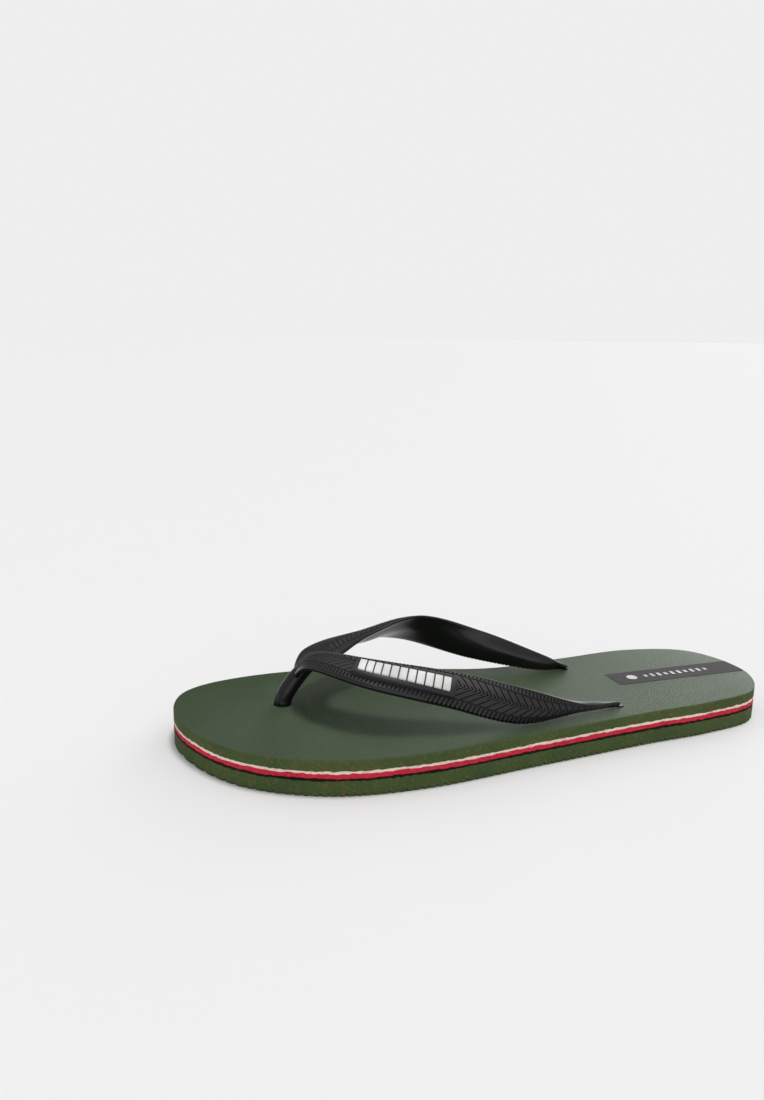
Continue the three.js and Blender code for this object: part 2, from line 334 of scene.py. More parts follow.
def sole_sheet(name, number, levels, places):
    """One foam sheet. levels are (height from the lower seam, height from the upper seam, inset):
    one of the two heights is None."""
    bpy.ops.mesh.primitive_circle_add(vertices=OUTLINE_STEPS, radius=1, fill_type="NGON")
    sheet = take(name)
    set_points(sheet, np.c_[OUTLINE, np.zeros(OUTLINE_STEPS)])
    edit(sheet)
    for x in places:
        bpy.ops.mesh.select_all(action="SELECT")
        bpy.ops.mesh.bisect(plane_co=(x, 0, 0), plane_no=(1, 0, 0))
    bpy.ops.mesh.select_all(action="SELECT")
    for _ in levels[1:]:
        bpy.ops.mesh.extrude_region_move(TRANSFORM_OT_translate={"value": (0, 0, 1)})
    leave()
    # Every vertex lies on the outline, on the level that its temporary height counts.
    points = points_of(sheet)
    flat = points[:, :2]
    inward = inward_at(flat)
    lower = seam_height(number, flat)
    upper = seam_height(number + 1, flat)
    ribs = rib_height(flat[:, 0])
    placed = points.copy()
    for i, (from_lower, from_upper, inset) in enumerate(levels):
        mine = np.abs(points[:, 2] - i) < 0.5
        if from_upper is not None:
            height = upper[mine] + from_upper
        elif number == 0 and i < 2:
            height = ribs[mine] + from_lower
        else:
            height = lower[mine] + from_lower
        spots = np.c_[flat[mine], height]
        shift = inset + EDGE_WAVE * (1 + waves(spots, EDGE_WAVE_SIZE, 20 + number)) / 2
        placed[mine, :2] = flat[mine] + inward[mine] * shift[:, None]
        placed[mine, 2] = height
    set_points(sheet, placed)
    face_out(sheet)
    cutters = []
    for place, post, disc in POSTS:
        neck = NECK_RADIUS if number == len(SHEETS) - 1 and place != TOE_POST else post
        cutters.append(rod(neck + HOLE_CLEARANCE, -MM, TOP + MM, *place))
        if number == 0:
            cutters.append(rod(disc + HOLE_CLEARANCE, -MM, COUNTERBORE_TOP, *place))
    cut(sheet, cutters)
    smooth(sheet, 42)
    return sheet


SIDE_STEPS = {
    "outsole": [
        (0, None, 0.22 * MM),
        (0.25 * MM, None, 0),
        (2.2 * MM, None, 0),
        (4.4 * MM, None, 0),
        (None, -0.2 * MM, 0),
        (None, 0, 0.1 * MM),
    ],
    "footbed": [
        (0, None, 0.1 * MM),
        (0.2 * MM, None, 0),
        (1.8 * MM, None, 0),
        (3.4 * MM, None, 0),
        (None, -0.6 * MM, 0),
        (None, -0.2 * MM, 0.16 * MM),
        (None, 0, 0.6 * MM),
    ],
}
THIN_SIDE = [
    (0, None, 0.1 * MM),
    (0.15 * MM, None, 0),
    (None, -0.15 * MM, 0),
    (None, 0, 0.1 * MM),
]

# ---------------------------------------------------------------- strap band

# Each station gives a point on the band's front edge and one on its rear edge, as shares: along
# from the toe post to the arm's anchor, out of the bow, and up the strap's rise. The last number
# is how far the outer face bulges over the straight line between the edges, in mm.
OUTER_ARM = [
    ((0.085, 0.48, 0.84), (0.179, 0.12, 0.89), 3.7),
    ((0.253, 1.0, 0.78), (0.328, 0.42, 0.9), 3.5),
    ((0.46, 1.02, 0.49), (0.526, 0.54, 0.78), 3.3),
    ((0.675, 0.77, 0.06), (0.71, 0.61, 0.56), 2.7),
    ((0.877, 0.3, 0.05), (0.884, 0.34, 0.19), 1.5),
    ((0.982, 0.08, 0.02), (0.988, 0.04, 0.1), 0.6),
]
INNER_ARM = [
    ((0.095, 0.47, 0.7), (0.189, 0.06, 0.75), 2.1),
    ((0.274, 0.96, 0.68), (0.319, 0.42, 0.89), 1.3),
    ((0.471, 1.06, 0.52), (0.516, 0.63, 1.03), 3.4),
    ((0.679, 0.56, 0.2), (0.728, 0.45, 0.7), 2.9),
    ((0.879, 0.11, 0.02), (0.91, 0.12, 0.31), 1.5),
    ((0.982, 0.06, 0.02), (0.993, -0.03, 0.1), 0.9),
]
YOKE = ((0.034, 0, 0.48), (0.156, 0, 0.78), 5.9)
STRAP_RISE = 28 * MM
STRAP_BOW = 33 * MM
EDGE_THICKNESS = 2.2 * MM
MIDDLE_THICKNESS = 4.2 * MM


def strap_point(shares, end, side):
    """A station's point on the arm that ends at an anchor, bowed to the outer (1) or inner (-1) side."""
    along, out, rise = shares
    reach = end - TOE_POST
    outwards = Vector((reach.y, -reach.x)).normalized()
    if outwards.y < 0:
        outwards.negate()
    flat = TOE_POST + reach * along + outwards * side * out * STRAP_BOW
    return (flat.x, flat.y, TOP + rise * STRAP_RISE)


def band_knots():
    """The stations in order, from the outer tip round the yoke to the inner tip."""
    middle = (OUTER_ANCHOR + INNER_ANCHOR) / 2
    rows = [(row, OUTER_ANCHOR, 1) for row in reversed(OUTER_ARM)]
    rows.append((YOKE, middle, 1))
    rows += [(row, INNER_ANCHOR, -1) for row in INNER_ARM]
    front = np.array([strap_point(row[0], end, side) for row, end, side in rows])
    rear = np.array([strap_point(row[1], end, side) for row, end, side in rows])
    crown = np.array([[row[2] * MM] for row, end, side in rows])
    return [with_ends(knots) for knots in (front, rear, crown)]


FRONT_KNOTS, REAR_KNOTS, CROWN_KNOTS = band_knots()
SPANS = len(FRONT_KNOTS) - 3


def unit(vectors):
    return vectors / np.linalg.norm(vectors, axis=-1, keepdims=True)


def heading(knots, s):
    """Unit directions of one edge of the band at shares s."""
    step = 1e-4
    low = np.clip(s - step, 0, 1)
    high = np.clip(s + step, 0, 1)
    return unit(catmull_rom(knots, high * SPANS) - catmull_rom(knots, low * SPANS))


def band_frame(s):
    """Front edge, chord to the rear edge, outward direction and run of the band, at shares s."""
    front = catmull_rom(FRONT_KNOTS, s * SPANS)
    chord = catmull_rom(REAR_KNOTS, s * SPANS) - front
    run = unit(heading(FRONT_KNOTS, s) + heading(REAR_KNOTS, s))
    return front, chord, unit(np.cross(chord, run)), run


def band(s, t, lift):
    """Points of the band: s along it, t across it from front edge to rear edge, lift above it."""
    front, chord, outward, run = band_frame(s)
    crown = catmull_rom(CROWN_KNOTS, s * SPANS)[:, 0]
    height = crown * (1 - (2 * t - 1) ** 2) + lift
    return front + chord * t[:, None] + outward * height[:, None]


def band_thickness(t):
    """The band is thickest in the middle between its edges."""
    return EDGE_THICKNESS + (MIDDLE_THICKNESS - EDGE_THICKNESS) * (1 - (2 * t - 1) ** 2)


# Shares of the band against lengths along its middle line.
SAMPLES = np.linspace(0, 1, 2001)
MIDDLE_LINE = band(SAMPLES, np.full(2001, 0.5), np.zeros(2001))
LENGTHS = np.r_[0, np.cumsum(np.linalg.norm(np.diff(MIDDLE_LINE, axis=0), axis=1))]
BAND_LENGTH = LENGTHS[-1]
YOKE_AT = np.interp(0.5, SAMPLES, LENGTHS)

# Relief: grooves between herringbone planks, and short ribs along both edges.
PLANK_PITCH = 3.5 * MM
COLUMN_PHASES = [0.0, 0.055, 0.145, 0.2, 0.5, 0.555, 0.645, 0.7]
GROOVE_COLUMNS = (1, 2)
HALF_PITCH = len(COLUMN_PHASES) // 2  # in columns
RELIEF = 0.62 * MM
TOOTH_DEPTH = 0.8 * MM
EDGE_BAND = 3.1 * MM
EDGE_SHARE = 0.22  # of the band's width, where the edge bands are at most
GUTTER = 0.35 * MM
SLOPE = 0.18 * MM
SPINE_LAP = 1.6 * MM
SMOOTH_TIP = 9 * MM
TIP_FADE = 5 * MM
SKIN_FADE = 4 * MM
YOKE_RELIEF = (14 * MM, 24 * MM)  # from the yoke, where the yoke's relief fades
TURN_SIZE = 16 * MM  # length over which the planks' slant turns at the yoke
TURN_FADE = 22 * MM
RIM_BULGE = 0.9 * MM
RIM_SHARE = 0.08  # of the band's width, where the rim's bulge is at most
RIM_ROWS = 5
INNER_ROWS = 11
INNER_BULGE = 2.2 * MM
TOP_ROLL = 0.88
ROLL_FROM_YOKE = (22 * MM, 50 * MM)
ROLL_FROM_TIP = 40 * MM
TIP_WALL = 0.6  # thickness at the tips, as a share of the band's
TIP_TAPER = 16 * MM
NOSE_COLUMNS = 6
NOSE_REACH = 2.6 * MM
FOOTBED_GAP = 0.12 * MM  # between the band and the footbed
FRONT_TEETH_END = 0.26  # share of the band at which the front edge's teeth end, from either tip
TEETH_FADE = 0.02
REAR_TEETH = (0.29, 0.47)  # shares of the band between which the rear edge has teeth


def outer_rows(width):
    """Places of the outer face's rows across the band, for an array of band widths.
    Returns shares of the width, and each row's kind."""
    edge = np.minimum(EDGE_BAND, EDGE_SHARE * width)
    start = np.minimum(RIM_BULGE, RIM_SHARE * width)
    middle = width / 2
    half = middle - edge - GUTTER
    low = edge + GUTTER + SLOPE
    lap = np.minimum(SPINE_LAP, 0.28 * half)
    rows = [
        (start, "rim"),
        (start + 0.18 * (edge - start), "tick"),
        (start + 0.55 * (edge - start), "tick"),
        (edge - SLOPE, "tick"),
        (edge, "gutter"),
        (edge + GUTTER, "gutter"),
        (low, "lower"),
        (low + 0.36 * half, "lower"),
        (low + 0.4 * half, "lower brick"),
        (low + 0.45 * half, "lower brick"),
        (low + 0.49 * half, "lower"),
        (middle - lap, "lower"),
        (middle - 0.55 * lap, "spine"),
    ]
    mirrored = [(width - place, kind.replace("lower", "upper")) for place, kind in reversed(rows)]
    rows = rows + [(middle, "spine")] + mirrored
    return [(place / width, kind) for place, kind in rows]


def relief_depth(kind, column, along):
    """Depth of the relief, 0 to 1, for one row at every column."""
    phase = column % len(COLUMN_PHASES)
    first = np.isin(phase, GROOVE_COLUMNS)
    second = np.isin(phase, [c + HALF_PITCH for c in GROOVE_COLUMNS])
    near_yoke = 1 - smoothstep(np.abs(along - YOKE_AT), *YOKE_RELIEF)
    tips = np.minimum(along, BAND_LENGTH - along)
    fade = smoothstep(tips, SMOOTH_TIP, SMOOTH_TIP + TIP_FADE)
    if kind in ("tick", "rim", "spine"):
        depth = (first | second) * 1.0
    elif kind == "lower":
        depth = np.where(first, 1.0, second * near_yoke)
    elif kind == "upper":
        depth = np.where(second, 1.0, first * near_yoke)
    elif kind == "lower brick":
        depth = np.where(first, 1.0, near_yoke * (phase >= HALF_PITCH))
    elif kind == "upper brick":
        depth = np.where(second, 1.0, near_yoke * (phase < HALF_PITCH))
    else:
        depth = np.full(len(column), 0.7)
    return depth * fade


def teeth(along, rear):
    """How toothed an edge of the band is, from 0 to 1, at lengths along the middle line."""
    s = np.interp(along, LENGTHS, SAMPLES)
    if rear:
        return smoothstep(s, REAR_TEETH[0], REAR_TEETH[0] + TEETH_FADE) * (s < REAR_TEETH[1])
    return 1 - smoothstep(np.minimum(s, 1 - s), FRONT_TEETH_END - TEETH_FADE, FRONT_TEETH_END)


def band_piece():
    """The strap's band: one closed skin, laid out as a grid along it and round its section."""
    pitches = int(BAND_LENGTH / PLANK_PITCH)
    phases = np.array([i + phase for i in range(pitches) for phase in COLUMN_PHASES] + [pitches])
    along = phases * BAND_LENGTH / pitches
    column = np.arange(len(along))
    tips = np.minimum(along, BAND_LENGTH - along)
    # The planks slant back from the edges to the spine, towards the tips, on both arms.
    turn = np.tanh((YOKE_AT - along) / TURN_SIZE) * smoothstep(tips, 0, TURN_FADE)
    _, chord, _, run = band_frame(np.interp(along, LENGTHS, SAMPLES))
    width = np.linalg.norm(chord, axis=1)
    rings = []
    grooves = []
    rows = outer_rows(width)
    # The arms' inner faces bulge too, away from the yoke and the tips, and roll over at the top.
    rolled = smoothstep(np.abs(along - YOKE_AT), *ROLL_FROM_YOKE) * smoothstep(tips, 0, ROLL_FROM_TIP)
    taper = TIP_WALL + (1 - TIP_WALL) * smoothstep(tips, 0, TIP_TAPER)

    def wall(t):
        """Thickness of the band at places t across it."""
        thick = band_thickness(t) + INNER_BULGE * rolled * (1 - (2 * t - 1) ** 2)
        top = np.clip((t - 0.5) / 0.5, 0, 1)
        return taper * thick * (1 - rolled * (1 - np.sqrt(1 - TOP_ROLL * top**2)))

    def shares(t):
        """Shares along the band for one row, slanted by its distance from the spine."""
        away = np.abs(t - 0.5) * width
        away = np.minimum(away, width / 2 - np.minimum(EDGE_BAND, EDGE_SHARE * width))
        return np.interp(np.clip(along + away * turn, 0, BAND_LENGTH), LENGTHS, SAMPLES)

    for t, kind in rows:
        depth = relief_depth(kind, column, along)
        deep = RELIEF
        if kind == "rim":
            depth = depth * teeth(along, t[0] > 0.5)
            deep = TOOTH_DEPTH
        rings.append(band(shares(t), t, -deep * depth))
        grooves.append(depth)
    for t, direction in ((rows[-1][0], 1), (rows[0][0], -1)):
        s = shares(t)
        _, chord, outward, _ = band_frame(s)
        sideways = unit(chord) * direction
        half = wall(t) / 2
        bulge = np.minimum(RIM_BULGE, RIM_SHARE * width)
        edge_depth = grooves[len(rows) - 1] if direction > 0 else grooves[0]
        angles = [math.pi * (i + 1) / (RIM_ROWS + 1) for i in range(RIM_ROWS)]
        rim = []
        for angle in angles:
            base = band(s, t, -half * (1 - math.cos(angle)))
            base += sideways * (bulge * math.sin(angle))[:, None]
            away = outward * math.cos(angle) + sideways * math.sin(angle)
            fade = 1 - smoothstep(angle, 0.45 * math.pi, 0.95 * math.pi)
            rim.append((base - away * (TOOTH_DEPTH * edge_depth * fade)[:, None], edge_depth * fade))
        if direction > 0:
            for ring, depth in rim:
                rings.append(ring)
                grooves.append(depth)
            for i in range(INNER_ROWS):
                share = i / (INNER_ROWS - 1)
                t_inner = rows[-1][0] * (1 - share) + rows[0][0] * share
                rings.append(band(shares(t_inner), t_inner, -wall(t_inner)))
                grooves.append(np.zeros(len(along)))
        else:
            for ring, depth in reversed(rim):
                rings.append(ring)
                grooves.append(depth)
    rings = np.array(rings)
    grooves = np.array(grooves)

    # Rounded noses close both tips.
    def nose(end, back):
        ring = rings[:, end]
        middle = ring.mean(0)
        made = []
        for i in range(1, NOSE_COLUMNS + 1):
            angle = math.pi / 2 * i / NOSE_COLUMNS
            made.append(middle + (ring - middle) * math.cos(angle) + back * NOSE_REACH * math.sin(angle))
        return made

    before = nose(0, -run[0])
    after = nose(-1, run[-1])
    grid = np.concatenate([np.array(before[::-1]), rings.transpose(1, 0, 2), np.array(after)])
    extra = np.zeros((NOSE_COLUMNS, len(rings)))
    groove_grid = np.concatenate([extra, grooves.T, extra])
    skin = np.zeros(grid.shape[:2])
    textured = smoothstep(tips, SMOOTH_TIP, SMOOTH_TIP + SKIN_FADE)
    skin[NOSE_COLUMNS:-NOSE_COLUMNS, 1 : len(rows) - 1] = textured[:, None]
    grid[:, :, 2] = np.maximum(grid[:, :, 2], TOP + FOOTBED_GAP)

    columns, ring_count = grid.shape[:2]
    bpy.ops.mesh.primitive_grid_add(x_subdivisions=columns - 1, y_subdivisions=ring_count, size=2)
    piece = take("strap_band")
    flat = points_of(piece)
    i = np.rint((flat[:, 0] + 1) / 2 * (columns - 1)).astype(int)
    j = np.rint((flat[:, 1] + 1) / 2 * ring_count).astype(int) % ring_count
    set_points(piece, grid[i, j])
    # The groove attribute carries the relief's depth to the strap's material, which uses it to paint
    # shade into the grooves.
    for name, values in (("groove", groove_grid), ("skin", skin)):
        attribute = piece.data.attributes.new(name, "FLOAT", "POINT")
        attribute.data.foreach_set("value", values[i, j].astype(np.float32))
    face_out(piece, 1e-6)
    return piece


# ---------------------------------------------------------------- posts and discs

POST_LEAN = 10.5 * MM
POST_STUB = 1.2 * MM
POST_TOP = (0.08, 0, 0.66)
POST_STEPS = 26
FOOT_FLARE = 0.03  # of the toe post's radius, just over the footbed
TOP_NARROWING = 0.12  # of its radius, in the yoke


def toe_post():
    """A round post that rises straight out of the sole and curves back into the yoke."""
    x, y = TOE_POST
    middle = (OUTER_ANCHOR + INNER_ANCHOR) / 2
    knots = np.array(
        [
            (x, y, TOP + POST_STUB / 2),
            (x - POST_LEAN * 0.15, y, TOP + STRAP_RISE * 0.18),
            (x - POST_LEAN * 0.6, y, TOP + STRAP_RISE * 0.42),
            strap_point(POST_TOP, middle, 1),
        ]
    )
    path = catmull_rom(with_ends(knots), np.linspace(0, len(knots) - 1, POST_STEPS))
    path = np.vstack([[x, y, DISC_TOP - POST_SINK], [x, y, TOP - MM], path])
    bpy.ops.mesh.primitive_circle_add(vertices=40, radius=TOE_POST_RADIUS, fill_type="NGON")
    post = take("toe_post")
    edit(post)
    for _ in path[1:]:
        bpy.ops.mesh.extrude_region_move(TRANSFORM_OT_translate={"value": (0, 0, 1)})
    leave()
    stacked = points_of(post)
    level = np.rint(stacked[:, 2]).astype(int)
    ahead = unit(np.gradient(path, axis=0))
    side = np.array([0.0, 1.0, 0.0])
    across = unit(np.cross(side, ahead))
    share = level / (len(path) - 1)
    widen = 1 + FOOT_FLARE * np.exp(-(((share - 0.1) / 0.05) ** 2))
    widen -= TOP_NARROWING * smoothstep(share, 0.6, 1.0)
    placed = path[level]
    placed += across[level] * (stacked[:, 0] * widen)[:, None]
    placed += side * (stacked[:, 1] * widen)[:, None]
    set_points(post, placed)
    face_out(post)
    return post


# Each step of a disc's face from its rim inwards: how wide it is, and how far it rises.
DISC_STEPS = [(1.0 * MM, 0), (0.25 * MM, -0.35 * MM), (1.1 * MM, 0), (0.2 * MM, 0.2 * MM)]
DISC_BARS = 5
DISC_BAR_PITCH = 1.7 * MM


def anchor_disc(place, radius, turn):
    """A flat disc with a stepped rim and a few raised ribs on its face."""
    bpy.ops.mesh.primitive_cylinder_add(
        vertices=72,
        radius=radius,
        depth=DISC_TOP - DISC_BOTTOM,
        location=(place.x, place.y, (DISC_TOP + DISC_BOTTOM) / 2),
    )
    disc = take("disc")
    drop_place(disc)
    edit_end(disc, -1)
    for thickness, depth in DISC_STEPS:
        bpy.ops.mesh.inset(thickness=thickness, depth=depth)
    leave()
    bevel(disc, 0.2 * MM, 2, 60)
    ribs = []
    for i in range(DISC_BARS):
        shift = (i - (DISC_BARS - 1) / 2) * DISC_BAR_PITCH
        length = 2 * math.sqrt(max((0.5 * radius) ** 2 - shift**2, (1.2 * MM) ** 2))
        bpy.ops.mesh.primitive_cube_add(
            size=1,
            location=(
                place.x + shift * math.cos(turn),
                place.y + shift * math.sin(turn),
                DISC_BOTTOM + 0.2 * MM,
            ),
            rotation=(0, 0, turn),
            scale=(0.7 * MM, length, 0.5 * MM),
        )
        rib = take("rib")
        drop_place(rib)
        bevel(rib, 0.12 * MM, 2)
        ribs.append(rib)
    cut(disc, ribs, "UNION")
    return disc


def rear_post(place):
    """A post that narrows to a neck in the footbed, under the strap's tip."""
    bpy.ops.mesh.primitive_cylinder_add(
        vertices=40, radius=REAR_POST_RADIUS, depth=1, location=(place.x, place.y, 0)
    )
    post = take("rear_post")
    drop_place(post)
    edit_end(post, 1)
    bpy.ops.mesh.extrude_region_move(TRANSFORM_OT_translate={"value": (0, 0, 1)})
    bpy.ops.mesh.extrude_region_move(TRANSFORM_OT_translate={"value": (0, 0, 1)})
    leave()
    points = points_of(post)
    level = np.rint(points[:, 2] + 0.5).astype(int)
    footbed_bottom = SEAMS[-2]
    shoulder = [footbed_bottom - 0.8 * MM, footbed_bottom - 0.2 * MM]
    heights = np.array([DISC_TOP - POST_SINK, *shoulder, TOP + 0.5 * MM])
    neck = NECK_RADIUS / REAR_POST_RADIUS
    shrink = np.array([1, 1, neck, neck])
    middle = np.array([place.x, place.y])
    points[:, :2] = middle + (points[:, :2] - middle) * shrink[level][:, None]
    points[:, 2] = heights[level]
    set_points(post, points)
    return post


def strap_piece():
    parts = [band_piece(), toe_post(), rear_post(OUTER_ANCHOR), rear_post(INNER_ANCHOR)]
    parts.append(anchor_disc(TOE_POST, TOE_DISC, math.radians(40)))
    parts.append(anchor_disc(OUTER_ANCHOR, REAR_DISC, 0))
    parts.append(anchor_disc(INNER_ANCHOR, REAR_DISC, 0))
    piece = join("strap_moulding", parts)
    smooth(piece, 38)
    return piece


# ---------------------------------------------------------------- badge

# Corners as (share along the band, share across it): low and high at the heel end, then the toe end.
BADGE = ((0.245, 0.146), (0.256, 0.697), (0.36, 0.106), (0.365, 0.473))
MARKS = ((0.2527, 0.225), (0.2593, 0.549), (0.3541, 0.175), (0.359, 0.43))
BADGE_TOP = 1.9 * MM
BADGE_SINK = 0.7 * MM
MARK_COUNT = 11
MARK_GAP = 0.16
MARK_TOP = 2.6 * MM
MARK_SINK = 0.2 * MM


def patch(name, corners, u_range, under, over, steps):
    """A slab that lies on the band, between four corners. u_range is its part of the length."""
    bpy.ops.mesh.primitive_grid_add(x_subdivisions=steps[0], y_subdivisions=steps[1], size=1)
    slab = take(name)
    edit(slab)
    bpy.ops.mesh.extrude_region_move(TRANSFORM_OT_translate={"value": (0, 0, 1)})
    leave()
    points = points_of(slab)
    u = u_range[0] + (u_range[1] - u_range[0]) * (points[:, :1] + 0.5)
    v = points[:, 1:2] + 0.5
    heel_low, heel_high, toe_low, toe_high = np.array(corners)
    low = heel_low * (1 - u) + toe_low * u
    high = heel_high * (1 - u) + toe_high * u
    place = low * (1 - v) + high * v
    lift = np.where(points[:, 2] > 0.5, over, under)
    set_points(slab, band(place[:, 0], place[:, 1], lift))
    face_out(slab)
    return slab


def badge_pieces():
    """The plate and the row of raised bars on it."""
    plate = patch("badge_base", BADGE, (0, 1), -BADGE_SINK, BADGE_TOP, (40, 12))
    bevel(plate, 0.4 * MM, 3, 50)
    smooth(plate, 40)
    bars = []
    for i in range(MARK_COUNT):
        share = ((i + MARK_GAP / 2) / MARK_COUNT, (i + 1 - MARK_GAP / 2) / MARK_COUNT)
        bar = patch(f"badge_mark_{i + 1}", MARKS, share, BADGE_TOP - MARK_SINK, MARK_TOP, (3, 8))
        bevel(bar, 0.22 * MM, 2, 50)
        smooth(bar, 40)
        bars.append(bar)
    return plate, bars


# ---------------------------------------------------------------- heel label

FILM = 0.12 * MM
FILM_SINK = 0.2 * MM
MARK_HEIGHT = 0.05 * MM
PRINT_DISC_RADIUS = 2.7 * MM
PRINT_MARGIN = 11 * MM  # from the label's toe end to the middle of its disc
PRINT_GAP = 8 * MM  # from there to the middle of the first bar
PRINT_BARS = 10
PRINT_PITCH = 3.9 * MM
PRINT_BAR_WIDTH = 1.7 * MM
PRINT_BAR_HEIGHTS = [2.6 * MM, 3.6 * MM, 3.6 * MM]


def heel_label():
    """The printed film that the marks lie on."""
    size = LABEL_HIGH - LABEL_LOW
    middle = (LABEL_HIGH + LABEL_LOW) / 2
    bpy.ops.mesh.primitive_cube_add(
        size=1,
        location=(middle.x, middle.y, TOP + (FILM - FILM_SINK) / 2),
        scale=(size.x, size.y, FILM + FILM_SINK),
    )
    film = take("heel_print")
    drop_place(film)
    bevel(film, 0.05 * MM, 1)
    return film


def label_marks():
    """A disc and a row of plain bars, printed on the film."""
    middle = (LABEL_HIGH + LABEL_LOW) / 2
    base = TOP + FILM
    x = LABEL_HIGH.x - PRINT_MARGIN
    marks = [rod(PRINT_DISC_RADIUS, base - MARK_HEIGHT, base + MARK_HEIGHT, x, middle.y, 48)]
    for i in range(PRINT_BARS):
        tall = PRINT_BAR_HEIGHTS[i % len(PRINT_BAR_HEIGHTS)]
        bpy.ops.mesh.primitive_cube_add(
            size=1,
            location=(x - PRINT_GAP - i * PRINT_PITCH, middle.y, base),
            scale=(PRINT_BAR_WIDTH, tall, 2 * MARK_HEIGHT),
        )
        mark = take("mark")
        drop_place(mark)
        marks.append(mark)
    return join("heel_marks", marks)


# ---------------------------------------------------------------- materials


def material(name):
    """A new material, its node tree and its shader."""
    made = bpy.data.materials.new(name)
    made.use_nodes = True
    return made, made.node_tree, made.node_tree.nodes["Principled BSDF"]


def colour(red, green, blue):
    """A colour in 0 to 255 steps, as a linear one."""

    def linear(value):
        value /= 255
        return value / 12.92 if value <= 0.04045 else ((value + 0.055) / 1.055) ** 2.4

    return (linear(red), linear(green), linear(blue), 1)


def feed(tree, source, socket):
    """Links a socket to another one, or sets it to a value."""
    if isinstance(source, bpy.types.NodeSocket):
        tree.links.new(source, socket)
    else:
        socket.default_value = source


def calculate(tree, operation, first, second=0):
    made = tree.nodes.new("ShaderNodeMath")
    made.operation = operation
    feed(tree, first, made.inputs[0])
    feed(tree, second, made.inputs[1])
    return made.outputs[0]


def ramp(tree, source, low, high, to_low=0, to_high=1):
    """Stretches a value's range from low to high onto another range, and holds it at both ends."""
    made = tree.nodes.new("ShaderNodeMapRange")
    made.inputs["From Min"].default_value = low
    made.inputs["From Max"].default_value = high
    made.inputs["To Min"].default_value = to_low
    made.inputs["To Max"].default_value = to_high
    feed(tree, source, made.inputs["Value"])
    return made.outputs["Result"]


def mixed(tree, share, first, second):
    """A mix of two colours."""
    made = tree.nodes.new("ShaderNodeMix")
    made.data_type = "RGBA"
    feed(tree, share, made.inputs["Factor"])
    feed(tree, first, made.inputs["A"])
    feed(tree, second, made.inputs["B"])
    return made.outputs["Result"]


def noise_of(tree, vector, scale, detail=2):
    made = tree.nodes.new("ShaderNodeTexNoise")
    made.inputs["Detail"].default_value = detail
    feed(tree, scale, made.inputs["Scale"])
    feed(tree, vector, made.inputs["Vector"])
    return made.outputs["Fac"]


def node_group(name, inputs, outputs):
    """A new node group, with the sockets that it is given and the sockets of its result."""
    group = bpy.data.node_groups.new(name, "ShaderNodeTree")
    for socket, kind, value in inputs:
        made = group.interface.new_socket(name=socket, in_out="INPUT", socket_type=kind)
        if value is not None:
            made.default_value = value
    for socket, kind in outputs:
        group.interface.new_socket(name=socket, in_out="OUTPUT", socket_type=kind)
    given = group.nodes.new("NodeGroupInput")
    result = group.nodes.new("NodeGroupOutput")
    return group, given.outputs, result.inputs


# Noise values between which the clouds, specks and flecks of a mottled surface blend in.
CLOUDS = (0.3, 0.7)
SPECKS = (0.55, 0.72)
FLECKS = (0.6, 0.7)
FLECK_SHIFT = (3.7, 1.9, 8.3)  # keeps the flecks off the specks


def mottle_group():
    """Two colours mixed by soft clouds, with fine specks of a third and coarser flecks of a fourth."""
    group, given, result = node_group(
        "mottle",
        [
            ("Vector", "NodeSocketVector", None),
            ("Base", "NodeSocketColor", (0.5, 0.5, 0.5, 1)),
            ("Cloud", "NodeSocketColor", (0.4, 0.4, 0.4, 1)),
            ("Speck", "NodeSocketColor", (0.6, 0.6, 0.6, 1)),
            ("Cloud Scale", "NodeSocketFloat", 60.0),
            ("Speck Scale", "NodeSocketFloat", 900.0),
            ("Speck Amount", "NodeSocketFloat", 0.3),
            ("Fleck", "NodeSocketColor", (0.3, 0.1, 0.1, 1)),
            ("Fleck Scale", "NodeSocketFloat", 520.0),
            ("Fleck Amount", "NodeSocketFloat", 0.0),
        ],
        [("Color", "NodeSocketColor")],
    )
    vector = given["Vector"]
    clouds = ramp(group, noise_of(group, vector, given["Cloud Scale"], 3), *CLOUDS)
    clouded = mixed(group, clouds, given["Base"], given["Cloud"])
    specks = ramp(group, noise_of(group, vector, given["Speck Scale"]), *SPECKS)
    specks = calculate(group, "MULTIPLY", specks, given["Speck Amount"])
    speckled = mixed(group, specks, clouded, given["Speck"])
    shifted = group.nodes.new("ShaderNodeVectorMath")
    shifted.operation = "ADD"
    shifted.inputs[1].default_value = FLECK_SHIFT
    group.links.new(vector, shifted.inputs[0])
    flecks = ramp(group, noise_of(group, shifted.outputs["Vector"], given["Fleck Scale"], 1), *FLECKS)
    flecks = calculate(group, "MULTIPLY", flecks, given["Fleck Amount"])
    group.links.new(mixed(group, flecks, speckled, given["Fleck"]), result["Color"])
    return group


def lattice_group():
    """Height of small diamond dimples set on a slanted square lattice."""
    group, given, result = node_group(
        "diamond_lattice",
        [("Vector", "NodeSocketVector", None), ("Pitch", "NodeSocketFloat", 0.001)],
        [("Height", "NodeSocketFloat")],
    )
    split = group.nodes.new("ShaderNodeSeparateXYZ")
    group.links.new(given["Vector"], split.inputs["Vector"])
    ridges = []
    for operation in ("ADD", "SUBTRACT"):
        slanted = calculate(group, operation, split.outputs["X"], split.outputs["Y"])
        turns = calculate(group, "DIVIDE", slanted, given["Pitch"])
        ridges.append(calculate(group, "SINE", calculate(group, "MULTIPLY", turns, 2 * math.pi)))
    group.links.new(calculate(group, "ADD", *ridges), result["Height"])
    return group


MOTTLE = mottle_group()
LATTICE = lattice_group()
LATTICE_PITCH = 1.35 * MM
LATTICE_DEPTH = 0.075 * MM
CELL_SCALE = 1500
CELL_DEPTH = 0.3 * MM
GRAIN_SCALE = 2500
GRAIN_DEPTH = 0.1 * MM


def object_vector(tree):
    return tree.nodes.new("ShaderNodeTexCoord").outputs["Object"]


